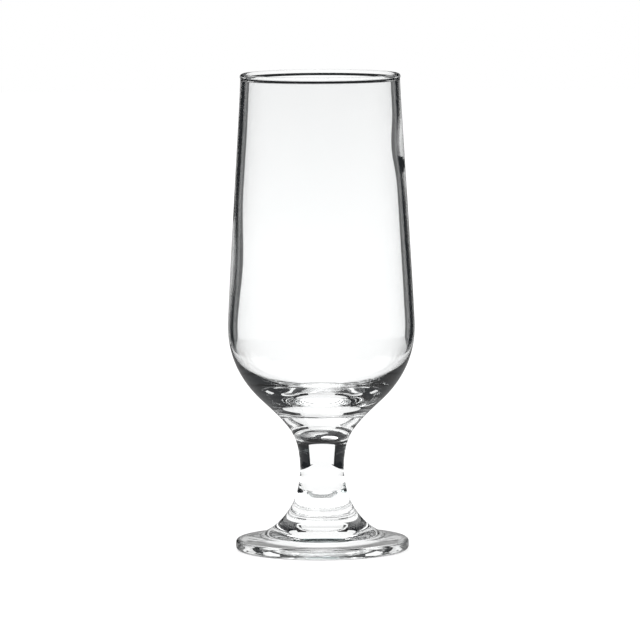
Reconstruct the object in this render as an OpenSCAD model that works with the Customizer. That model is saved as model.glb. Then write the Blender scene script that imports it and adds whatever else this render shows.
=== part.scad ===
// Stemmed pilsner glass: a blown bowl, a solid stem and a pressed foot, hot-welded end to end.
// Millimetres, +Z up. The origin is on the axis, in the plane of the ring that the foot rests on.

/* [Bowl] */
// Height of the whole glass
glass_h = 182; // [165:1:200]
// Diameter across the bead at the rim
rim_d = 61.1; // [56:0.1:66]
// Thickness of the blown wall
wall_t = 1.8; // [1.2:0.1:2.4]
// How far the rim's bead stands out from each side of the wall
bead_proud = 0.25; // [0.1:0.05:0.5]
// Lean of the wall just under the rim, away from upright
rim_lean = 3; // [1:0.1:5]
// Diameter of the bowl at its widest
belly_d = 71.3; // [68:0.1:78]
// Height of the widest place
belly_z = 85.6; // [78:0.1:94]
// Diameter where the bowl turns in towards the stem
shoulder_d = 42.8; // [38:0.1:50]
// Height of that turn
shoulder_z = 56.1; // [52:0.1:60]
// Slope of the bowl at that turn, up from level
shoulder_slope = 43.4; // [35:0.1:50]
// Height of the bowl's inner floor
well_z = 58.3; // [56:0.1:62]

/* [Stem] */
// Height of the weld between bowl and stem
collar_z = 40; // [37:0.5:43]
// Diameter of that weld
collar_d = 18.8; // [18:0.1:21]
// Slope of the outline at that weld, up from level
collar_slope = 76.1; // [70:0.1:82]
// Diameter of the stem's waist
waist_d = 16.7; // [14:0.1:17.8]
// Height of the waist
waist_z = 31; // [28:0.5:34]

/* [Foot] */
// Height of the weld between stem and foot
ankle_z = 20.5; // [18:0.5:23]
// Diameter of that weld
ankle_d = 20.1; // [18.5:0.1:21.5]
// Slope of the outline at that weld, up from level
ankle_slope = 70; // [64:1:78]
// Diameter of the foot
foot_d = 66; // [60:0.1:74]
// Height of the foot's rounded edge
edge_h = 4.2; // [3.2:0.1:5.2]
// Radius round the top of the edge
edge_top_r = 1.2; // [0.6:0.1:1.6]
// Radius round the bottom of the edge
edge_bottom_r = 1.4; // [0.4:0.1:1.8]
// Width from the foot's edge in to the hollow, over the flat ring that the foot rests on
ring_w = 10.8; // [8:0.1:13]
// Slope of the hollow's side, up from level
hollow_slope = 79; // [65:1:85]
// Height of the hollow's side
hollow_side_h = 3; // [2:0.1:3.2]
// Height of the hollow in its middle
hollow_h = 3.9; // [3.3:0.1:5]
// Diameter of the round mould mark in the middle of the hollow
mark_d = 14; // [10:0.5:18]
// Depth of the mould mark
mark_depth = 0.4; // [0.2:0.1:0.8]

/* [Hidden] */

// Faces round each turned shape
$fn = 96;
// Steps along each curve of the outline
curve_steps = 14;
// Steps round the bead, and round each edge of the foot
bead_steps = 16;
edge_steps = 5;
// Colour and clearness of the glass
glass_color = [0.86, 0.91, 0.92, 0.45];

// The reach of each curve's handles, as shares of the height that the curve spans
wall_top_share = 0.174;
wall_belly_share = 0.062;
belly_share = 0.6;
shoulder_top_share = 0.111;
shoulder_low_share = 0.69;
collar_top_share = 0.325;
collar_low_share = 0.358;
waist_top_share = 0.277;
waist_low_share = 0.37;
ankle_top_share = 0.144;
ankle_low_share = 0.172;
well_side_share = 0.6;
// The same, as shares of the radius that the curve spans
well_floor_share = 0.7;
foot_top_share = 0.7;
hollow_side_share = 0.04;
hollow_top_share = 0.85;
mark_side_share = 0.08;

// Slope of the foot's upper face at its edge, up from level
foot_top_slope = 1.5;

bead_r = wall_t / 2 + bead_proud;
bead_centre = [rim_d / 2 - bead_r, glass_h - bead_r];
// Angle below level at which the bead runs into the wall
bead_turn = acos(wall_t / 2 / bead_r);
belly_r = belly_d / 2;
well_r = belly_r - wall_t;
foot_edge_r = foot_d / 2;
rest_ring_r = foot_edge_r - ring_w;
mark_r = mark_d / 2;

collar = [collar_d / 2, collar_z];
ankle = [ankle_d / 2, ankle_z];
waist = [waist_d / 2, waist_z];
shoulder = [shoulder_d / 2, shoulder_z];

// The point that lies a distance from p in the direction of an angle up from level
function from(p, angle, distance) = p + distance * [cos(angle), sin(angle)];

// A cubic curve from a to d with handles b and c, without its first point
function curve(a, b, c, d) = [
    for (i = [1 : curve_steps])
        let (t = i / curve_steps, s = 1 - t)
        s * s * s * a + 3 * s * s * t * b + 3 * s * t * t * c + t * t * t * d
];

// A round arc about a centre, with both its ends
function arc(centre, r, start, end, steps) = [
    for (i = [0 : steps]) from(centre, start + (end - start) * i / steps, r)
];

// The wall from one side of the bead down to the widest place, inset from the outside
function wall_line(top, inset) =
    let (low = [belly_r - inset, belly_z], drop = top.y - belly_z)
    curve(
        top,
        from(top, rim_lean - 90, wall_top_share * drop),
        from(low, 90, wall_belly_share * drop),
        low
    );

// The outside from the widest place to the turn, then to the weld with the stem
function shoulder_line() =
    let (belly = [belly_r, belly_z], drop = belly_z - shoulder_z)
    curve(
        belly,
        from(belly, -90, belly_share * drop),
        from(shoulder, shoulder_slope, shoulder_top_share * drop),
        shoulder
    );

function neck_line() =
    let (drop = shoulder_z - collar_z)
    curve(
        shoulder,
        from(shoulder, shoulder_slope, -shoulder_low_share * drop),
        from(collar, collar_slope, collar_top_share * drop),
        collar
    );

// The inside from the widest place down to the middle of the floor
function well_line() =
    let (side = [well_r, belly_z], floor_point = [0, well_z], drop = belly_z - well_z)
    curve(
        side,
        from(side, -90, well_side_share * drop),
        from(floor_point, 0, well_floor_share * well_r),
        floor_point
    );

// The stem's side from its upper weld to the waist, then to its lower weld
function stem_line() =
    let (rise = collar_z - waist_z, drop = waist_z - ankle_z)
    concat(
        curve(
            collar,
            from(collar, collar_slope, -collar_low_share * rise),
            from(waist, 90, waist_top_share * rise),
            waist
        ),
        curve(
            waist,
            from(waist, -90, waist_low_share * drop),
            from(ankle, 180 - ankle_slope, ankle_top_share * drop),
            ankle
        )
    );

// The foot's upper side from its weld down to the rounded edge
function flare_line(edge_point) =
    let (drop = ankle_z - edge_point.y, reach = edge_point.x - ankle.x)
    curve(
        ankle,
        from(ankle, -ankle_slope, ankle_low_share * drop),
        from(edge_point, 180 - foot_top_slope, foot_top_share * reach),
        edge_point
    );

// The hollow under the foot: its side from the flat ring, then its top as far as the mould mark
function hollow_line() =
    let (
        side = [rest_ring_r - hollow_side_h / tan(hollow_slope), hollow_side_h],
        inner = [mark_r, hollow_h],
        reach = side.x - mark_r
    )
    concat(
        [side],
        curve(
            side,
            from(side, 180 - hollow_slope, hollow_side_share * reach),
            from(inner, 0, hollow_top_share * reach),
            inner
        )
    );

module bowl() {
    outer_top = from(bead_centre, -bead_turn, bead_r);
    inner_top = from(bead_centre, 180 + bead_turn, bead_r);
    inside = concat([inner_top], wall_line(inner_top, wall_t), well_line());
    bead = arc(bead_centre, bead_r, 180 + bead_turn, -bead_turn, bead_steps);
    outside = concat(wall_line(outer_top, 0), shoulder_line(), neck_line());
    inside_up = [for (i = [len(inside) - 1 : -1 : 1]) inside[i]];
    color(glass_color)
        rotate_extrude()
            polygon(concat(inside_up, bead, outside, [[0, collar_z]]));
}

module stem() {
    color(glass_color)
        rotate_extrude()
            polygon(concat([[0, collar_z], collar], stem_line(), [[0, ankle_z]]));
}

module foot() {
    top_centre = [foot_edge_r - edge_top_r, edge_h - edge_top_r];
    bottom_centre = [foot_edge_r - edge_bottom_r, edge_bottom_r];
    edge_top = arc(top_centre, edge_top_r, 90 - foot_top_slope, 0, edge_steps);
    edge_bottom = arc(bottom_centre, edge_bottom_r, 0, -90, edge_steps);
    mark_inner = [mark_r - mark_side_share * mark_r, hollow_h + mark_depth];
    outline = concat(
        [[0, ankle_z], ankle],
        flare_line(edge_top[0]),
        [for (i = [1 : edge_steps]) edge_top[i]],
        edge_bottom,
        [[rest_ring_r, 0]],
        hollow_line(),
        [mark_inner, [0, mark_inner.y]]
    );
    color(glass_color) rotate_extrude() polygon(outline);
}

bowl();
stem();
foot();
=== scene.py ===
"""The stemmed pilsner glass as it looks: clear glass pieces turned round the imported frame."""

import logging
import math
import random
from collections.abc import Callable
from dataclasses import dataclass, replace
from enum import Enum

import bpy
from mathutils import Matrix, Vector


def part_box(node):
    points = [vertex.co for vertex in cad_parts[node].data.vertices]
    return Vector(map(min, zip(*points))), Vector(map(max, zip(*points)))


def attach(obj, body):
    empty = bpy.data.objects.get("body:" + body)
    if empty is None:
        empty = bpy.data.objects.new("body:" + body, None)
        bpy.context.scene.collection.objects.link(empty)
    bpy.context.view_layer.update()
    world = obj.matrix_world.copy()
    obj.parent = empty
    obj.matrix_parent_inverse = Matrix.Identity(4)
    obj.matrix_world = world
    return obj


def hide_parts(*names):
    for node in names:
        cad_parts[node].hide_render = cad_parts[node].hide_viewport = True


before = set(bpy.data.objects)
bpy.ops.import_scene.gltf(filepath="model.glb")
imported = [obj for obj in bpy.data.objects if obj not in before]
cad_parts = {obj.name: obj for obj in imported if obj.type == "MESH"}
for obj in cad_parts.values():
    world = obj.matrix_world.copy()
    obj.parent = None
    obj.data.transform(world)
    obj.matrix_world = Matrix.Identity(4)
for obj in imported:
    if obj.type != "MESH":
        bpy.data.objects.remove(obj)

log = logging.getLogger("pilsner_glass")

MM = 0.001
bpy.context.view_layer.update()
BODY = "root"
WHITE = (1.0, 1.0, 1.0)
FULL_TURN = 2 * math.pi
CIRCLE, HALF_CIRCLE = 360, 180

# Directions in an outline, in degrees up from level and away from the axis
OUT, UP, IN, DOWN = 0, 90, 180, -90

# What two pieces share at a weld: radius and slope of the outside, and depth of the groove
COLLAR_R, COLLAR_SLOPE, COLLAR_GROOVE = 9.4 * MM, 76.1, 0.03 * MM
ANKLE_R, ANKLE_SLOPE, ANKLE_GROOVE = 10.05 * MM, 70.0, 0.05 * MM

Rgb = tuple[float, float, float]
Way = tuple[float, float]
Socket = bpy.types.NodeSocket


class Skin(Enum):
    """What a stretch of a piece's surface is."""

    OPEN = 0
    WELD = 1


class RayKind(Enum):
    """The ray kinds that a studio sheet can be hidden from."""

    CAMERA = "visible_camera"
    DIFFUSE = "visible_diffuse"
    GLOSSY = "visible_glossy"
    TRANSMISSION = "visible_transmission"
    SHADOW = "visible_shadow"


def reach(point: Vector, degrees: float, distance: float) -> Vector:
    """Gives the point of an outline at a direction and distance from another."""
    angle = math.radians(degrees)
    return point + distance * Vector((math.cos(angle), math.sin(angle)))


def curve(ends: tuple[Vector, Vector], handles: tuple[Vector, Vector], steps: int) -> list[Vector]:
    """Samples a cubic curve.

    Args:
        ends: The first and last point.
        handles: The two points that the curve heads for at its ends.
        steps: How many points to give.

    Returns:
        The points after the first end, with the last end.
    """
    points = []
    for step in range(1, steps + 1):
        t = step / steps
        s = 1 - t
        points.append(
            s**3 * ends[0] + 3 * s * s * t * handles[0] + 3 * s * t * t * handles[1] + t**3 * ends[1]
        )
    return points


def bend(start: Vector, leave: Way, end: Vector, arrive: Way, steps: int) -> list[Vector]:
    """Samples the curve between two points, each with the direction and distance of its handle."""
    return curve((start, end), (reach(start, *leave), reach(end, *arrive)), steps)


def arc(centre: Vector, radius: float, start: float, end: float, steps: int) -> list[Vector]:
    """Samples a round arc of an outline between two directions, with both its ends."""
    return [reach(centre, start + (end - start) * i / steps, radius) for i in range(steps + 1)]


def circle(radius: float, height: float, count: int) -> list[Vector]:
    """Spaces points evenly on a level circle round the axis, from its +X side on."""
    angles = [FULL_TURN * turn / count for turn in range(count)]
    return [Vector((radius * math.cos(angle), radius * math.sin(angle), height)) for angle in angles]


def link(name: str, data: bpy.types.ID, *hidden: RayKind) -> bpy.types.Object:
    """Makes an object and links it to the scene.

    Args:
        name: The object's name.
        data: Its mesh, light or camera.
        *hidden: The kinds of ray that pass it by.

    Returns:
        The object.
    """
    made = bpy.data.objects.new(name, data)
    bpy.context.scene.collection.objects.link(made)
    for kind in hidden:
        setattr(made, kind.value, False)
    return made


@dataclass(frozen=True)
class Ripple:
    """Slight waves in hot glass, as a few seeded waves that close up round the axis.

    Attributes:
        depth: The greatest height of all the waves together.
        fewest: The fewest waves in a turn.
        most: The most waves in a turn.
        rise: The height over which a wave comes round once.
        seed: The seed of the waves' phases.
    """

    depth: float
    fewest: int
    most: int
    rise: float
    seed: int

    def waves(self) -> list[tuple[int, float, float, float]]:
        """Draws the waves.

        Returns:
            Each wave's count in a turn, climb, phase and share of the depth.
        """
        draw = random.Random(self.seed)
        counts = range(self.fewest, self.most + 1)
        return [
            (count, draw.uniform(-1, 1), draw.uniform(0, FULL_TURN), 1 / len(counts))
            for count in counts
        ]

    def field(self) -> Callable[[float, float], float]:
        """Gives the waves as a function.

        Returns:
            A function of the angle round the axis and the height.
        """
        drawn = self.waves()

        def height_at(angle: float, z: float) -> float:
            """Adds up the waves at an angle and height."""
            climb = FULL_TURN * z / self.rise
            return self.depth * sum(
                share * math.cos(count * angle + phase + turn * climb)
                for count, turn, phase, share in drawn
            )

        return height_at


@dataclass(frozen=True)
class ThickSpot:
    """A place where the blown wall came out thicker.

    Attributes:
        bearing: Where it is round the axis, in degrees from +X.
        height: Its height.
        depth: How far it stands in from the wall's inside.
        spread: Its half width round the axis, in degrees.
        rise: Its half height.
    """

    bearing: float
    height: float
    depth: float
    spread: float
    rise: float

    def at(self, angle: float, z: float) -> float:
        """Gives how much thicker the wall is at an angle and height."""
        off = (math.degrees(angle) - self.bearing + HALF_CIRCLE) % CIRCLE - HALF_CIRCLE
        return self.depth * math.exp(-((off / self.spread) ** 2) - ((z - self.height) / self.rise) ** 2)


@dataclass(frozen=True)
class Weld:
    """The fine groove that a hot weld leaves round the outside.

    Attributes:
        height: The height of the weld.
        depth: The groove's depth.
        half_width: The groove's half width.
    """

    height: float
    depth: float
    half_width: float = 0.5 * MM

    def at(self, z: float) -> float:
        """Gives how far the surface is drawn in at a height."""
        return self.depth * math.exp(-(((z - self.height) / self.half_width) ** 2))


Span = tuple[Skin, list[Vector]]


class TurnedPiece:
    """A piece of glass turned round the axis from spans of an outline.

    In each piece, a share says how long a curve's handle is at one of its ends, as a share of the
    height or width that the curve crosses.

    Attributes:
        name: The piece's name.
        node: The node of the frame that it stands for.
        segments: How many segments go round.
    """

    name = "turned_glass"
    node = ""
    segments = 192

    def spans(self) -> list[Span]:
        """Gives the outline from the upper point on the axis to the lower, in spans of one skin."""
        raise NotImplementedError

    def nudge(self, angle: float, point: Vector, inside: bool) -> float:
        """Gives how far hot glass left a point of the outline, outward."""
        return 0.0

    def build(self) -> bpy.types.Object:
        """Turns the outline into a closed mesh.

        Returns:
            The new piece, linked to the scene.
        """
        points: list[Vector] = []
        skins: list[Skin] = []
        for skin, span in self.spans():
            points.extend(span)
            skins.extend([skin] * len(span))
        top = max(range(len(points)), key=lambda i: points[i].y)
        rings: list[range] = []
        corners: list[tuple[float, float, float]] = []
        for index, point in enumerate(points):
            start = len(corners)
            count = self.segments if point.x > 0 else 1
            for turn in range(count):
                angle = FULL_TURN * turn / self.segments
                radius = point.x + (self.nudge(angle, point, index < top) if point.x > 0 else 0)
                corners.append((radius * math.cos(angle), radius * math.sin(angle), point.y))
            rings.append(range(start, start + count))
        faces: list[tuple[int, ...]] = []
        slots: list[int] = []
        for upper, lower, skin in zip(rings, rings[1:], skins[1:]):
            for turn in range(self.segments):
                here, after = turn, (turn + 1) % self.segments
                ring = (
                    lower[here % len(lower)], lower[after % len(lower)],
                    upper[after % len(upper)], upper[here % len(upper)],
                )
                faces.append(tuple(dict.fromkeys(ring)))
                slots.append(skin.value)
        mesh = bpy.data.meshes.new(self.name)
        mesh.from_pydata(corners, [], faces)
        mesh.polygons.foreach_set("use_smooth", [True] * len(faces))
        mesh.polygons.foreach_set("material_index", slots)
        self.crease(mesh, slots)
        return link(self.name, mesh)

    @staticmethod
    def crease(mesh: bpy.types.Mesh, slots: list[int]) -> None:
        """Keeps the rim of each weld face sharp, so that the outside stays smooth up to it.

        Args:
            mesh: The piece's mesh.
            slots: The skin of each face.
        """
        skins_at: dict[tuple[int, int], set[int]] = {}
        for polygon in mesh.polygons:
            for key in polygon.edge_keys:
                skins_at.setdefault(key, set()).add(slots[polygon.index])
        for edge in mesh.edges:
            edge.use_edge_sharp = len(skins_at[edge.key]) > 1

    def dress(self, piece: bpy.types.Object, glass: "GlassFinish", weld: "WeldFinish") -> None:
        """Puts the finishes on the piece, and fixes it to the frame.

        Args:
            piece: The piece's object.
            glass: The finish of its open faces.
            weld: The finish of its welded faces.
        """
        piece.data.materials.append(glass.material())
        piece.data.materials.append(weld.material())
        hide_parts(self.node)
        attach(piece, BODY)
        log.info("%s: %d faces for node %s", self.name, len(piece.data.polygons), self.node)


@dataclass
class Bowl(TurnedPiece):
    """The blown bowl, with its rounded rim and its thick base.

    Attributes:
        rim_z: The height of the rim.
        weld_z: The height of the weld to the stem.
        belly_r: The outside's radius at its widest.
        belly_z: The height of the widest place.
        rim_r: The outside's radius at the rim.
        wall: The wall's thickness.
        bead_proud: How far the rim's bead stands out from each side of the wall.
        rim_lean: How far the wall leans outward under the bead, in degrees.
        shoulder_r: The outside's radius where the barrel runs into the base.
        shoulder_z: The height of that place.
        shoulder_slope: The outside's slope there, in degrees.
        well_z: The height of the inside's floor.
        wall_top_share, wall_low_share: The wall's, under the bead and above the widest place.
        well_side_share, well_floor_share: The well's, at its side and at its floor.
        belly_share, shoulder_top_share: The barrel's, under the widest place and at the shoulder.
        shoulder_low_share, collar_share: The base's, under the shoulder and at the weld.
        wall_steps, turn_steps, well_steps: The points of the wall, of each outer curve and of the well.
        bead_steps: How many steps the bead takes.
        inside_ripple: The waves of the inside.
        outside_ripple: The waves of the outside.
        thick_spots: The places where the wall is thicker.
        rim_fade: How far under the rim the waves reach their full depth.
        floor_fade: How far from the axis the inside's waves do so.
    """

    rim_z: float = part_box("bowl")[1].z
    weld_z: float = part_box("bowl")[0].z
    belly_r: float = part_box("bowl")[1].x
    belly_z: float = 85.6 * MM
    rim_r: float = 30.55 * MM
    wall: float = 1.8 * MM
    bead_proud: float = 0.25 * MM
    rim_lean: float = 3.0
    shoulder_r: float = 21.4 * MM
    shoulder_z: float = 56.1 * MM
    shoulder_slope: float = 43.4
    well_z: float = 58.3 * MM
    wall_top_share: float = 0.174
    wall_low_share: float = 0.062
    well_side_share: float = 0.6
    well_floor_share: float = 0.7
    belly_share: float = 0.6
    shoulder_top_share: float = 0.111
    shoulder_low_share: float = 0.69
    collar_share: float = 0.325
    wall_steps: int = 70
    turn_steps: int = 36
    well_steps: int = 60
    bead_steps: int = 20
    inside_ripple: Ripple = Ripple(depth=0.05 * MM, fewest=3, most=8, rise=70 * MM, seed=11)
    outside_ripple: Ripple = Ripple(depth=0.025 * MM, fewest=3, most=7, rise=90 * MM, seed=5)
    thick_spots: tuple[ThickSpot, ...] = (
        ThickSpot(bearing=0, height=154 * MM, depth=0.28 * MM, spread=22, rise=8 * MM),
        ThickSpot(bearing=180, height=110 * MM, depth=0.22 * MM, spread=24, rise=15 * MM),
    )
    rim_fade: float = 12 * MM
    floor_fade: float = 20 * MM
    name = "bowl_glass"
    node = "bowl"

    def __post_init__(self) -> None:
        """Draws the waves of the blown wall and sets the weld's groove."""
        self.inside_waves = self.inside_ripple.field()
        self.outside_waves = self.outside_ripple.field()
        self.weld = Weld(self.weld_z, COLLAR_GROOVE)

    def side(self, top: Vector, inset: float) -> list[Vector]:
        """Gives the wall from under the bead down to the widest place.

        Args:
            top: Where the wall leaves the bead.
            inset: How far in from the outside the line runs.

        Returns:
            The points after the top.
        """
        low = Vector((self.belly_r - inset, self.belly_z))
        drop = top.y - self.belly_z
        leave = (self.rim_lean + DOWN, self.wall_top_share * drop)
        return bend(top, leave, low, (UP, self.wall_low_share * drop), self.wall_steps)

    def spans(self) -> list[Span]:
        """Gives the outline from the middle of the floor over the rim to the weld.

        Returns:
            The open glass, then the weld's middle.
        """
        bead_r = self.wall / 2 + self.bead_proud
        bead = Vector((self.rim_r - bead_r, self.rim_z - bead_r))
        turn = math.degrees(math.acos(self.wall / 2 / bead_r))
        inner_top, outer_top = reach(bead, IN + turn, bead_r), reach(bead, -turn, bead_r)
        well_side = Vector((self.belly_r - self.wall, self.belly_z))
        floor = Vector((0, self.well_z))
        belly = Vector((self.belly_r, self.belly_z))
        shoulder = Vector((self.shoulder_r, self.shoulder_z))
        collar = Vector((COLLAR_R, self.weld_z))
        deep, high, low = (
            self.belly_z - self.well_z, self.belly_z - self.shoulder_z, self.shoulder_z - self.weld_z,
        )
        inside = [inner_top, *self.side(inner_top, self.wall)]
        inside += bend(
            well_side, (DOWN, self.well_side_share * deep),
            floor, (OUT, self.well_floor_share * well_side.x), self.well_steps,
        )
        outside = arc(bead, bead_r, IN + turn, -turn, self.bead_steps)[1:]
        outside += self.side(outer_top, 0)
        outside += bend(
            belly, (DOWN, self.belly_share * high),
            shoulder, (self.shoulder_slope, self.shoulder_top_share * high), self.turn_steps,
        )
        outside += bend(
            shoulder, (self.shoulder_slope, -self.shoulder_low_share * low),
            collar, (COLLAR_SLOPE, self.collar_share * low), self.turn_steps,
        )
        return [(Skin.OPEN, inside[::-1] + outside), (Skin.WELD, [Vector((0, self.weld_z))])]

    def nudge(self, angle: float, point: Vector, inside: bool) -> float:
        """Gives how far blowing left a point of the wall, outward.

        Args:
            angle: The angle round the axis.
            point: The point of the outline.
            inside: Whether it is on the bowl's inside.

        Returns:
            The distance, outward from the axis.
        """
        fade = min(1.0, max(0.0, (self.rim_z - point.y) / self.rim_fade))
        if inside:
            near_floor = min(1.0, point.x / self.floor_fade)
            spots = sum(spot.at(angle, point.y) for spot in self.thick_spots)
            return fade * near_floor * (self.inside_waves(angle, point.y) - spots)
        return fade * self.outside_waves(angle, point.y) * point.x / self.belly_r - self.weld.at(point.y)


@dataclass
class Stem(TurnedPiece):
    """The solid stem with its waist.

    Attributes:
        top_z: The height of the weld to the bowl.
        low_z: The height of the weld to the foot.
        waist_r: The radius at the waist.
        waist_z: The height of the waist.
        collar_share, waist_top_share: The upper curve's, at the weld and at the waist.
        waist_low_share, ankle_share: The lower curve's, at the waist and at the weld.
        steps: How many points each curve takes.
    """

    top_z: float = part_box("stem")[1].z
    low_z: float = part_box("stem")[0].z
    waist_r: float = 8.35 * MM
    waist_z: float = 31.0 * MM
    collar_share: float = 0.358
    waist_top_share: float = 0.277
    waist_low_share: float = 0.37
    ankle_share: float = 0.144
    steps: int = 24
    name = "stem_glass"
    node = "stem"

    def __post_init__(self) -> None:
        """Sets the two welds' grooves."""
        self.welds = (Weld(self.top_z, COLLAR_GROOVE), Weld(self.low_z, ANKLE_GROOVE))

    def spans(self) -> list[Span]:
        """Gives the outline from the upper weld to the lower.

        Returns:
            The upper weld, the open side and the lower weld's middle.
        """
        collar = Vector((COLLAR_R, self.top_z))
        waist = Vector((self.waist_r, self.waist_z))
        ankle = Vector((ANKLE_R, self.low_z))
        rise, drop = self.top_z - self.waist_z, self.waist_z - self.low_z
        side = bend(
            collar, (COLLAR_SLOPE, -self.collar_share * rise),
            waist, (UP, self.waist_top_share * rise), self.steps,
        )
        side += bend(
            waist, (DOWN, self.waist_low_share * drop),
            ankle, (IN - ANKLE_SLOPE, self.ankle_share * drop), self.steps,
        )
        return [
            (Skin.WELD, [Vector((0, self.top_z)), collar]),
            (Skin.OPEN, side),
            (Skin.WELD, [Vector((0, self.low_z))]),
        ]

    def nudge(self, angle: float, point: Vector, inside: bool) -> float:
        """Gives how far the welds draw the surface in at a point, as a distance outward."""
        return -sum(weld.at(point.y) for weld in self.welds)


@dataclass
class Foot(TurnedPiece):
    """The pressed foot: a flare, a rounded edge, a flat ring to rest on and a hollow with its mark.

    Attributes:
        top_z: The height of the weld to the stem.
        edge_r: The foot's radius.
        edge_h: The height of the edge.
        edge_top_r: The radius of the edge's upper rounding.
        edge_bottom_r: The radius of its lower rounding.
        top_slope: The top's slope at the edge, in degrees.
        ring_w: The width from the edge in to the hollow.
        hollow_slope: The slope of the hollow's side, in degrees.
        hollow_side_h: The height of the hollow's side.
        hollow_h: The hollow's height round the mark.
        mark_r: The radius of the mould mark.
        mark_depth: How far the mark goes in.
        ankle_share, flare_share: The flare's, at the weld and at the edge.
        hollow_side_share, hollow_top_share: The hollow's, at its side and at the mark.
        mark_flat_share, mark_step_share: How far out the mark is flat, and where the middle of its
            step is, as shares of its radius.
        steps: How many points the flare and the hollow take.
        edge_steps: How many steps each rounding takes.
        ripple: The slow waves of the pressed faces.
        edge_fade: How far in from the edge the waves reach their full depth.
        ankle_fade: How far from the axis they do so.
    """

    top_z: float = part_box("foot")[1].z
    edge_r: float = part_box("foot")[1].x
    edge_h: float = 4.2 * MM
    edge_top_r: float = 1.2 * MM
    edge_bottom_r: float = 1.4 * MM
    top_slope: float = 1.5
    ring_w: float = 10.8 * MM
    hollow_slope: float = 79.0
    hollow_side_h: float = 3.0 * MM
    hollow_h: float = 3.9 * MM
    mark_r: float = 7.0 * MM
    mark_depth: float = 0.4 * MM
    ankle_share: float = 0.172
    flare_share: float = 0.7
    hollow_side_share: float = 0.04
    hollow_top_share: float = 0.85
    mark_flat_share: float = 0.92
    mark_step_share: float = 0.96
    steps: int = 48
    edge_steps: int = 8
    ripple: Ripple = Ripple(depth=0.03 * MM, fewest=3, most=7, rise=60 * MM, seed=23)
    edge_fade: float = 3 * MM
    ankle_fade: float = 12 * MM
    name = "foot_glass"
    node = "foot"

    def __post_init__(self) -> None:
        """Draws the slow waves of the pressed faces and sets the weld's groove."""
        self.waves = self.ripple.field()
        self.weld = Weld(self.top_z, ANKLE_GROOVE)

    def spans(self) -> list[Span]:
        """Gives the outline from the weld over the edge to the middle of the hollow.

        Returns:
            The weld, then the open glass.
        """
        ankle = Vector((ANKLE_R, self.top_z))
        top_centre = Vector((self.edge_r - self.edge_top_r, self.edge_h - self.edge_top_r))
        low_centre = Vector((self.edge_r - self.edge_bottom_r, self.edge_bottom_r))
        edge = arc(top_centre, self.edge_top_r, UP - self.top_slope, OUT, self.edge_steps)
        edge_low = arc(low_centre, self.edge_bottom_r, OUT, DOWN, self.edge_steps)
        drop, out = self.top_z - edge[0].y, edge[0].x - ANKLE_R
        flare = bend(
            ankle, (-ANKLE_SLOPE, self.ankle_share * drop),
            edge[0], (IN - self.top_slope, self.flare_share * out), self.steps,
        )
        ring = Vector((self.edge_r - self.ring_w, 0))
        slope = math.radians(self.hollow_slope)
        side = ring + Vector((-self.hollow_side_h / math.tan(slope), self.hollow_side_h))
        inner = Vector((self.mark_r, self.hollow_h))
        back = side.x - self.mark_r
        hollow = [side, *bend(
            side, (IN - self.hollow_slope, self.hollow_side_share * back),
            inner, (OUT, self.hollow_top_share * back), self.steps,
        )]
        mark_top, step_r = self.hollow_h + self.mark_depth, self.mark_step_share * self.mark_r
        mark = curve(
            (inner, Vector((self.mark_flat_share * self.mark_r, mark_top))),
            (Vector((step_r, self.hollow_h)), Vector((step_r, mark_top))),
            self.edge_steps,
        )
        outline = flare + edge[1:] + edge_low + [ring] + hollow + mark + [Vector((0, mark_top))]
        return [(Skin.WELD, [Vector((0, self.top_z)), ankle]), (Skin.OPEN, outline)]

    def nudge(self, angle: float, point: Vector, inside: bool) -> float:
        """Gives how far pressing left a point of the foot, outward."""
        fade = min(1.0, (self.edge_r - point.x) / self.edge_fade) * min(1.0, point.x / self.ankle_fade)
        return fade * self.waves(angle, point.y) - self.weld.at(point.y)


class NodeSheet:
    """A small hand for placing and joining shader nodes.

    Attributes:
        NEAR: How close two numbers count as the same whole number.
    """

    NEAR = 0.5

    def __init__(self, tree: bpy.types.NodeTree) -> None:
        """Takes the tree to work on."""
        self.tree = tree

    def add(self, kind: str, **settings: object) -> bpy.types.Node:
        """Adds a node and sets its properties.

        Args:
            kind: The node's type name.
            **settings: Its properties, by name.

        Returns:
            The new node.
        """
        node = self.tree.nodes.new(kind)
        for key, value in settings.items():
            setattr(node, key, value)
        return node

    def join(self, start: Socket, end: Socket) -> None:
        """Links an output to an input."""
        self.tree.links.new(start, end)

    def choose(self, value: Socket, wanted: float, same: Socket, other: Socket) -> Socket:
        """Picks one of two numbers by whether a whole number is the wanted one.

        Args:
            value: The whole number to look at.
            wanted: What it is compared with.
            same: The number to give when it is the wanted one.
            other: The number to give when it isn't.

        Returns:
            The picked number.
        """
        match = self.add("ShaderNodeMath", operation="COMPARE")
        match.inputs[1].default_value = wanted
        match.inputs[2].default_value = self.NEAR
        pick = self.add("ShaderNodeMapRange")
        self.join(value, match.inputs[0])
        self.join(match.outputs["Value"], pick.inputs["Value"])
        self.join(other, pick.inputs["To Min"])
        self.join(same, pick.inputs["To Max"])
        return pick.outputs["Result"]


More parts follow.
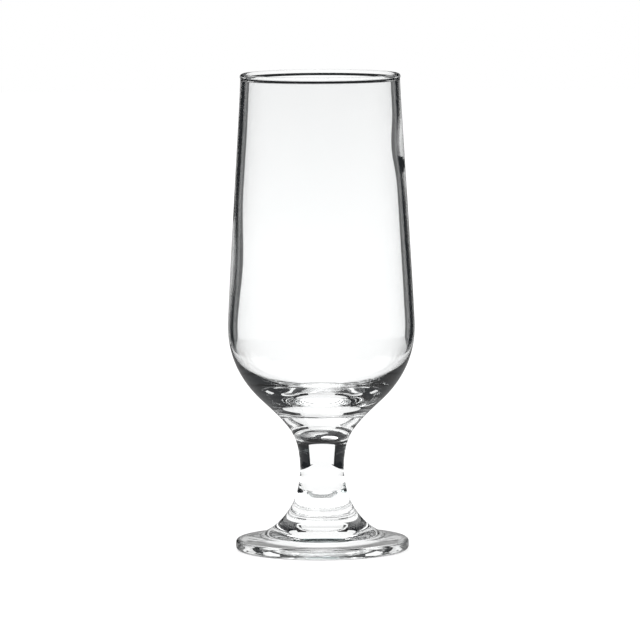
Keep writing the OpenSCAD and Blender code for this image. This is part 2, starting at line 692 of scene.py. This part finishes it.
@dataclass(frozen=True)
class HotGlassSurface:
    """The faint unevenness of hot-worked glass, as a node group that the finishes share.

    Attributes:
        name: The group's name.
        wave_scale: The scale of the waves, where a finish gives none.
        wave_detail: How much finer detail the waves have.
        wipe_scale: The scale of the duller patches.
        wipe_detail: How much finer detail the patches have.
        bright_at: The noise at which a patch is at its brightest.
        dull_at: The noise at which it is at its dullest.
        least: The roughness of the brightest patches.
        most: The roughness of the dullest ones, where a finish gives none.
    """

    name: str = "hot_glass_surface"
    wave_scale: float = 40.0
    wave_detail: float = 1.0
    wipe_scale: float = 18.0
    wipe_detail: float = 4.0
    bright_at: float = 0.35
    dull_at: float = 0.75
    least: float = 0.0
    most: float = 0.02

    def group(self) -> bpy.types.NodeTree:
        """Makes the group, once.

        Returns:
            The group: its outputs are a height for a bump and a roughness.
        """
        if self.name in bpy.data.node_groups:
            return bpy.data.node_groups[self.name]
        group = bpy.data.node_groups.new(self.name, "ShaderNodeTree")
        for label, value in (
            ("Wave Scale", self.wave_scale), ("Wipe Scale", self.wipe_scale),
            ("Least", self.least), ("Most", self.most),
        ):
            socket = group.interface.new_socket(label, in_out="INPUT", socket_type="NodeSocketFloat")
            socket.default_value = value
        group.interface.new_socket("Height", in_out="OUTPUT", socket_type="NodeSocketFloat")
        group.interface.new_socket("Roughness", in_out="OUTPUT", socket_type="NodeSocketFloat")
        sheet = NodeSheet(group)
        entry, end = sheet.add("NodeGroupInput"), sheet.add("NodeGroupOutput")
        place = sheet.add("ShaderNodeTexCoord")
        waves, wipe = sheet.add("ShaderNodeTexNoise"), sheet.add("ShaderNodeTexNoise")
        waves.inputs["Detail"].default_value = self.wave_detail
        wipe.inputs["Detail"].default_value = self.wipe_detail
        spread = sheet.add("ShaderNodeMapRange")
        spread.inputs["From Min"].default_value = self.bright_at
        spread.inputs["From Max"].default_value = self.dull_at
        for noise, scale in ((waves, "Wave Scale"), (wipe, "Wipe Scale")):
            sheet.join(place.outputs["Object"], noise.inputs["Vector"])
            sheet.join(entry.outputs[scale], noise.inputs["Scale"])
        sheet.join(wipe.outputs["Fac"], spread.inputs["Value"])
        sheet.join(entry.outputs["Least"], spread.inputs["To Min"])
        sheet.join(entry.outputs["Most"], spread.inputs["To Max"])
        sheet.join(waves.outputs["Fac"], end.inputs["Height"])
        sheet.join(spread.outputs["Result"], end.inputs["Roughness"])
        return group


@dataclass(frozen=True)
class GlassFinish:
    """Clear soda-lime glass.

    Attributes:
        name: The material's name.
        tint: Its surface colour.
        depth_tint: The colour that thick glass takes.
        depth_density: How fast it takes that colour, per metre.
        wave_scale: The scale of the surface's faint waves.
        wave_height: The height of those waves.
        most_rough: The roughness of the dullest patches.
        index: Its refractive index.
    """

    name: str
    tint: Rgb = (0.985, 0.99, 0.99)
    depth_tint: Rgb = (0.84, 0.87, 0.87)
    depth_density: float = 2.0
    wave_scale: float = 60.0
    wave_height: float = 0.02 * MM
    most_rough: float = 0.004
    index: float = 1.52

    def material(self) -> bpy.types.Material:
        """Makes the material.

        Returns:
            The material.
        """
        material = bpy.data.materials.new(self.name)
        material.use_nodes = True
        sheet = NodeSheet(material.node_tree)
        shader = material.node_tree.nodes["Principled BSDF"]
        shader.inputs["Base Color"].default_value = (*self.tint, 1)
        shader.inputs["Transmission Weight"].default_value = 1.0
        shader.inputs["IOR"].default_value = self.index
        surface = sheet.add("ShaderNodeGroup", node_tree=HotGlassSurface().group())
        surface.inputs["Wave Scale"].default_value = self.wave_scale
        surface.inputs["Most"].default_value = self.most_rough
        bump = sheet.add("ShaderNodeBump")
        bump.inputs["Distance"].default_value = self.wave_height
        sheet.join(surface.outputs["Height"], bump.inputs["Height"])
        sheet.join(surface.outputs["Roughness"], shader.inputs["Roughness"])
        sheet.join(bump.outputs["Normal"], shader.inputs["Normal"])
        depth = sheet.add("ShaderNodeVolumeAbsorption")
        depth.inputs["Color"].default_value = (*self.depth_tint, 1)
        depth.inputs["Density"].default_value = self.depth_density
        output = material.node_tree.nodes["Material Output"]
        sheet.join(depth.outputs["Volume"], output.inputs["Volume"])
        return material


@dataclass(frozen=True)
class WeldFinish:
    """The face inside a hot weld, where glass runs into glass and nothing shows.

    Attributes:
        name: The material's name.
    """

    name: str = "fused_weld"

    def material(self) -> bpy.types.Material:
        """Makes the material, once.

        Returns:
            The material.
        """
        if self.name in bpy.data.materials:
            return bpy.data.materials[self.name]
        material = bpy.data.materials.new(self.name)
        material.use_nodes = True
        shader = material.node_tree.nodes["Principled BSDF"]
        shader.inputs["Alpha"].default_value = 0.0
        return material


@dataclass(frozen=True)
class Glow:
    """How bright a spot of a studio sheet is.

    Attributes:
        straight: Its brightness seen right through the hollow bowl.
        bounced: Its brightness for rays that the glass turned back on the way.
        solid: Its brightness seen through solid glass alone.
    """

    straight: float
    bounced: float
    solid: float


# How bright each sheet is. The rays that a sheet isn't meant for find it unlit
UNLIT = 0.02
TABLE_GLOW = Glow(straight=1.22, bounced=1.0, solid=1.1)
SIDE_TABLE_GLOW = Glow(straight=1.22, bounced=UNLIT, solid=UNLIT)
HOLLOW_GLOW = Glow(straight=1.22, bounced=2.2, solid=1.1)
# Painted shadow: the ring where the foot rests on the table glows dimmer, as if the foot shaded it
PAINTED_SHADOW_GLOW = Glow(straight=0.3, bounced=1.0, solid=0.3)
BACK_LOW_GLOW = Glow(straight=1.24, bounced=0.9, solid=1.1)
BACK_SEAM_GLOW = Glow(straight=1.23, bounced=0.9, solid=1.1)
BACK_TOP_GLOW = Glow(straight=0.88, bounced=0.8, solid=1.1)
SIDE_GLOW = Glow(straight=1.22, bounced=UNLIT, solid=1.1)
WING_GLOW = Glow(straight=0.25, bounced=UNLIT, solid=1.1)
SKY_GLOW = Glow(straight=UNLIT, bounced=1.1, solid=UNLIT)
BELOW_GLOW = Glow(straight=1.1, bounced=UNLIT, solid=1.1)


@dataclass(frozen=True)
class Wall:
    """An upright, curved sheet of light that stands round the glass, seen only in the glass.

    Attributes:
        name: The sheet's name.
        bearing: The direction of its middle, in degrees from +Y towards -X.
        half_width: Half the angle that it spans.
        low: The height of its lower edge.
        high: The height of its upper edge.
        lower: How bright it is at its lower edge.
        upper: How bright it is at its upper edge.
        distance: How far it stands from the axis.
        steps: How many flat strips it is made of.
        side_gain: How much brighter it gets towards its sides, seen right through the bowl.
    """

    name: str
    bearing: float
    half_width: float
    low: float
    high: float
    lower: Glow
    upper: Glow
    distance: float = 0.68
    steps: int = 8
    side_gain: float = 0.0

    def build(self) -> bpy.types.Object:
        """Makes the sheet.

        Returns:
            The sheet's object.
        """
        corners: list[Vector] = []
        glows: list[Glow] = []
        for i in range(self.steps + 1):
            off = 2 * i / self.steps - 1
            angle = math.radians(self.bearing + self.half_width * off)
            foot = Vector((-self.distance * math.sin(angle), self.distance * math.cos(angle), 0))
            corners += [foot + Vector((0, 0, self.low)), foot + Vector((0, 0, self.high))]
            gain = 1 + self.side_gain * off * off
            glows += [replace(glow, straight=gain * glow.straight) for glow in (self.lower, self.upper)]
        faces = [(2 * i, 2 * i + 1, 2 * i + 3, 2 * i + 2) for i in range(self.steps)]
        return light_piece(self.name, corners, faces, glows)


@dataclass(frozen=True)
class TableTop:
    """A level sheet of light just under the glass, as a white table top shows in the glass.

    Attributes:
        name: The sheet's name.
        bearing: The direction that it runs in, in degrees from +Y towards -X.
        half_width: Half its width.
        near: Where it starts, counted in its direction from the axis.
        far: Where it ends.
        glow: How bright it is.
        height: Its height.
    """

    name: str
    bearing: float
    half_width: float
    near: float
    far: float
    glow: Glow
    height: float = -1 * MM

    def build(self) -> bpy.types.Object:
        """Makes the sheet.

        Returns:
            The sheet's object.
        """
        angle = math.radians(self.bearing)
        ahead = Vector((-math.sin(angle), math.cos(angle), 0))
        aside = Vector((ahead.y, -ahead.x, 0))
        lift = Vector((0, 0, self.height))
        corners = [
            lift + ahead * out + aside * side * self.half_width
            for out, side in ((self.near, -1), (self.near, 1), (self.far, 1), (self.far, -1))
        ]
        return light_piece(self.name, corners, [(0, 1, 2, 3)], [self.glow] * len(corners))


@dataclass(frozen=True)
class RoundTable:
    """The round part of the table top right under the foot, with a painted shadow where the foot touches
    it: a ring that glows dimmer.

    Attributes:
        rings: The radius of each ring from the middle out, and how bright it is.
        height: Its height.
        segments: How many segments go round.
        name: The sheet's name.
    """

    rings: tuple[tuple[float, Glow], ...]
    height: float = -0.5 * MM
    segments: int = 64
    name: str = "under_foot"

    def build(self) -> bpy.types.Object:
        """Makes the sheet.

        Returns:
            The sheet's object.
        """
        corners: list[Vector] = []
        glows: list[Glow] = []
        for radius, glow in self.rings:
            corners += circle(radius, self.height, self.segments)
            glows += [glow] * self.segments
        faces: list[tuple[int, ...]] = [tuple(range(self.segments))]
        for start in range(0, len(corners) - self.segments, self.segments):
            for turn in range(self.segments):
                here, after = start + turn, start + (turn + 1) % self.segments
                faces.append((here, here + self.segments, after + self.segments, after))
        return light_piece(self.name, corners, faces, glows)


Sheet = Wall | TableTop | RoundTable


def sheet_glow() -> bpy.types.Material:
    """Makes the glow of all the sheets: each corner carries its three levels.

    The outside of the glass mirrors the sheets only faintly.

    Returns:
        The material.
    """
    name, outside_share = "sheet_glow", 0.3
    faces_of_solid, never_turned = 2, 0
    if name in bpy.data.materials:
        return bpy.data.materials[name]
    material = bpy.data.materials.new(name)
    material.use_nodes = True
    material.cycles.emission_sampling = "NONE"
    material.node_tree.nodes.clear()
    sheet = NodeSheet(material.node_tree)
    path, glow = sheet.add("ShaderNodeLightPath"), sheet.add("ShaderNodeEmission")
    straight, bounced, solid = (
        sheet.add("ShaderNodeAttribute", attribute_name=level).outputs["Fac"]
        for level in ("straight", "bounced", "solid")
    )
    through = sheet.choose(path.outputs["Transmission Depth"], faces_of_solid, solid, straight)
    level = sheet.choose(path.outputs["Glossy Depth"], never_turned, through, bounced)
    share = sheet.add("ShaderNodeMapRange")
    share.inputs["To Min"].default_value = outside_share
    strength = sheet.add("ShaderNodeMath", operation="MULTIPLY")
    output = sheet.add("ShaderNodeOutputMaterial")
    sheet.join(path.outputs["Transmission Depth"], share.inputs["Value"])
    sheet.join(level, strength.inputs[0])
    sheet.join(share.outputs["Result"], strength.inputs[1])
    sheet.join(strength.outputs["Value"], glow.inputs["Strength"])
    sheet.join(glow.outputs["Emission"], output.inputs["Surface"])
    return material


def light_piece(
    name: str, corners: list[Vector], faces: list[tuple[int, ...]], glows: list[Glow]
) -> bpy.types.Object:
    """Makes a studio sheet that only the glass sees.

    Args:
        name: The sheet's name.
        corners: Its corners.
        faces: Its faces.
        glows: How bright it is at each corner.

    Returns:
        The sheet's object.
    """
    mesh = bpy.data.meshes.new(name)
    mesh.from_pydata(corners, [], faces)
    for label in ("straight", "bounced", "solid"):
        levels = [getattr(glow, label) for glow in glows]
        mesh.attributes.new(label, "FLOAT", "POINT").data.foreach_set("value", levels)
    mesh.materials.append(sheet_glow())
    piece = link(name, mesh, RayKind.CAMERA, RayKind.DIFFUSE, RayKind.SHADOW)
    return piece


@dataclass
class LightSheets:
    """The white table and the backdrop, as sheets of light that only the glass sees.

    Attributes:
        table_half: Half the width of both table tops, and where the side one starts.
        table_near: Where the back one starts, counted from the axis to the back.
        table_far: Where both end, at the foot of the walls.
        ring_in: The radius at which the painted shadow under the foot starts.
        ring_out: The foot's radius, where that painted shadow ends.
        ramp: The width over which the painted shadow comes and goes.
        round_r: The radius of the round table.
        back_half: Half the angle of the back wall and of the side wall, in degrees.
        wing_end: The bearing at which a wing beside the back wall ends.
        skirt: The height of the lower edge of all that stands on the table.
        seam: The height at which the back wall starts to fade.
        back_top: The height of the back wall, its wings and the fins.
        back_gain: How much brighter the back wall gets towards its sides.
        below_half: Half the angle of the two low sheets, in degrees.
        below_distance: How far they stand from the axis.
    """

    table_half: float = 0.158
    table_near: float = -0.04
    table_far: float = 0.68
    ring_in: float = 22 * MM
    ring_out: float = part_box("foot")[1].x
    ramp: float = 2 * MM
    round_r: float = 0.12
    back_half: float = 13.4
    wing_end: float = 23.0
    skirt: float = -0.01
    seam: float = 0.06
    back_top: float = 0.235
    back_gain: float = 0.2
    below_half: float = 12.0
    below_distance: float = 1.0

    def table(self) -> list[Sheet]:
        """Gives the table tops behind, beside and under the glass.

        Returns:
            The sheets, not yet built.
        """
        return [
            TableTop(
                "back_table", bearing=0, half_width=self.table_half,
                near=self.table_near, far=self.table_far, glow=TABLE_GLOW,
            ),
            TableTop(
                "side_table", bearing=90, half_width=self.table_half,
                near=self.table_half, far=self.table_far, glow=SIDE_TABLE_GLOW,
            ),
            RoundTable((
                # The rings between ring_in and ring_out are the painted shadow under the foot
                (self.ring_in, HOLLOW_GLOW), (self.ring_in + self.ramp, PAINTED_SHADOW_GLOW),
                (self.ring_out, PAINTED_SHADOW_GLOW), (self.ring_out + self.ramp, TABLE_GLOW),
                (self.round_r, TABLE_GLOW),
            )),
        ]

    def walls(self) -> list[Sheet]:
        """Gives the walls behind and beside the glass.

        Returns:
            The sheets, not yet built.
        """
        walls: list[Sheet] = [
            Wall(
                "back_wall", bearing=0, half_width=self.back_half, low=self.skirt, high=self.seam,
                lower=BACK_LOW_GLOW, upper=BACK_SEAM_GLOW, side_gain=self.back_gain,
            ),
            Wall(
                "back_wall_top", bearing=0, half_width=self.back_half, low=self.seam, high=self.back_top,
                lower=BACK_SEAM_GLOW, upper=BACK_TOP_GLOW, side_gain=self.back_gain,
            ),
            Wall(
                "side_wall", bearing=90, half_width=self.back_half, low=self.skirt, high=0.6,
                lower=SIDE_GLOW, upper=SIDE_GLOW,
            ),
        ]
        for hand, side in (("right", -1), ("left", 1)):
            walls.append(Wall(
                f"wing_{hand}", bearing=side * (self.back_half + self.wing_end) / 2,
                half_width=(self.wing_end - self.back_half) / 2, low=self.skirt, high=self.back_top,
                lower=WING_GLOW, upper=WING_GLOW,
            ))
            walls.append(Wall(
                f"fin_{hand}", bearing=side * 31.5, half_width=8.5, low=0.19, high=self.back_top,
                lower=SKY_GLOW, upper=SKY_GLOW,
            ))
        return walls

    def far(self) -> list[Sheet]:
        """Gives the sky far behind the walls, and the two low sheets outside the table's edge.

        Returns:
            The sheets, not yet built.
        """
        return [
            Wall(
                "far_sky", bearing=0, half_width=60, low=1.0, high=3.0,
                lower=SKY_GLOW, upper=SKY_GLOW, distance=3.0, steps=24,
            ),
            Wall(
                "low_back_left", bearing=45, half_width=self.below_half, low=-0.75, high=-0.15,
                lower=BELOW_GLOW, upper=BELOW_GLOW, distance=self.below_distance,
            ),
            Wall(
                "low_front_right", bearing=225, half_width=self.below_half, low=-0.8, high=0.1,
                lower=BELOW_GLOW, upper=BELOW_GLOW, distance=self.below_distance,
            ),
        ]

    def build(self) -> None:
        """Builds all the sheets."""
        for sheet in (*self.table(), *self.walls(), *self.far()):
            sheet.build()


@dataclass
class Studio:
    """The pale floor, the white surround, the light sheets, the soft lamp and the camera.

    Attributes:
        camera_distance: How far the camera stands from the point that it looks at.
        camera_pitch: How far it looks down, in degrees.
        camera_roll: How far it leans over, in degrees.
        lens: Its focal length, in millimetres.
        clip_end: How far it sees.
        aim: The point that it looks at.
        floor_r: The floor's radius.
        floor_corners: How many corners the floor has.
        floor_colour: The floor's own colour.
        floor_glow: How much light it gives of its own, so that it stays white.
        dark: The surround's colour in the glass.
        lamp_size: The lamp's width.
        lamp_power: Its power, in watts.
        lamp_place: Where it hangs.
        lamp_aim: The point that it shines at.
        through_bounces: How many faces of glass a ray may pass.
        mirror_bounces: How many times a ray may be mirrored.
    """

    camera_distance: float = 2.2106
    camera_pitch: float = 5.607
    camera_roll: float = 0.28
    lens: float = 326.27
    clip_end: float = 20.0
    aim: tuple[float, float, float] = (-0.5 * MM, 0, 87.97 * MM)
    floor_r: float = 3.0
    floor_corners: int = 64
    floor_colour: Rgb = (0.5, 0.5, 0.5)
    floor_glow: float = 0.62
    dark: Rgb = (0.018, 0.020, 0.022)
    lamp_size: float = 1.2
    lamp_power: float = 8.0
    lamp_place: tuple[float, float, float] = (-0.5, -0.6, 1.6)
    lamp_aim: tuple[float, float, float] = (0, 0, 0.09)
    through_bounces: int = 32
    mirror_bounces: int = 16

    def build(self) -> None:
        """Sets up the whole studio."""
        self.surround()
        self.floor()
        LightSheets().build()
        self.lamp()
        self.camera()
        scene = bpy.context.scene
        scene.view_settings.view_transform = "Standard"
        scene.cycles.max_bounces = self.through_bounces
        scene.cycles.transmission_bounces = self.through_bounces
        scene.cycles.glossy_bounces = self.mirror_bounces
        scene.cycles.transparent_max_bounces = self.through_bounces

    def surround(self) -> None:
        """Makes the world: white to the camera and to the floor, and dark in the glass."""
        world = bpy.data.worlds.new("studio")
        bpy.context.scene.world = world
        world.use_nodes = True
        sheet = NodeSheet(world.node_tree)
        world.node_tree.nodes.clear()
        path, mix = sheet.add("ShaderNodeLightPath"), sheet.add("ShaderNodeMixShader")
        either = sheet.add("ShaderNodeMath", operation="MAXIMUM")
        dark, white = sheet.add("ShaderNodeBackground"), sheet.add("ShaderNodeBackground")
        dark.inputs["Color"].default_value = (*self.dark, 1)
        white.inputs["Color"].default_value = (*WHITE, 1)
        output = sheet.add("ShaderNodeOutputWorld")
        sheet.join(path.outputs["Is Camera Ray"], either.inputs[0])
        sheet.join(path.outputs["Is Diffuse Ray"], either.inputs[1])
        sheet.join(either.outputs["Value"], mix.inputs["Fac"])
        sheet.join(dark.outputs["Background"], mix.inputs[1])
        sheet.join(white.outputs["Background"], mix.inputs[2])
        sheet.join(mix.outputs["Shader"], output.inputs["Surface"])

    def floor(self) -> None:
        """Lays the white floor, which keeps the glass's soft shadow."""
        corners = circle(self.floor_r, 0, self.floor_corners)
        mesh = bpy.data.meshes.new("floor")
        mesh.from_pydata(corners, [], [tuple(range(len(corners)))])
        material = bpy.data.materials.new("floor_white")
        material.use_nodes = True
        shader = material.node_tree.nodes["Principled BSDF"]
        shader.inputs["Base Color"].default_value = (*self.floor_colour, 1)
        shader.inputs["Roughness"].default_value = 1.0
        shader.inputs["Specular IOR Level"].default_value = 0.0
        shader.inputs["Emission Color"].default_value = (*WHITE, 1)
        shader.inputs["Emission Strength"].default_value = self.floor_glow
        mesh.materials.append(material)
        floor = link("floor", mesh, RayKind.GLOSSY, RayKind.TRANSMISSION)

    def lamp(self) -> None:
        """Hangs one broad soft lamp over the glass."""
        light = bpy.data.lights.new("overhead", "AREA")
        light.shape = "DISK"
        light.size = self.lamp_size
        light.energy = self.lamp_power
        lamp = link("overhead", light)
        lamp.location = self.lamp_place
        way = Vector(self.lamp_aim) - lamp.location
        lamp.rotation_euler = way.to_track_quat("-Z", "Y").to_euler()

    def camera(self) -> None:
        """Places the camera where the photograph was taken from."""
        data = bpy.data.cameras.new("camera")
        data.lens = self.lens
        data.clip_end = self.clip_end
        pitch = math.radians(self.camera_pitch)
        away = Vector((0, -math.cos(pitch), math.sin(pitch)))
        turn = (-away).to_track_quat("-Z", "Y").to_matrix().to_4x4()
        roll = Matrix.Rotation(math.radians(-self.camera_roll), 4, "Z")
        place = Vector(self.aim) + away * self.camera_distance
        camera = link("camera", data)
        camera.matrix_world = Matrix.Translation(place) @ turn @ roll
        bpy.context.scene.camera = camera


def main() -> None:
    """Builds the studio, then each piece of the glass from the top down."""
    logging.basicConfig(level=logging.INFO, format="%(name)s: %(message)s")
    Studio().build()
    weld = WeldFinish()
    blown = GlassFinish("blown_glass")
    solid = GlassFinish("solid_glass", wave_scale=45.0)
    pressed = GlassFinish("pressed_glass", wave_scale=80.0)
    for piece, finish in ((Bowl(), blown), (Stem(), solid), (Foot(), pressed)):
        piece.dress(piece.build(), finish, weld)


if __name__ == "__main__":
    main()
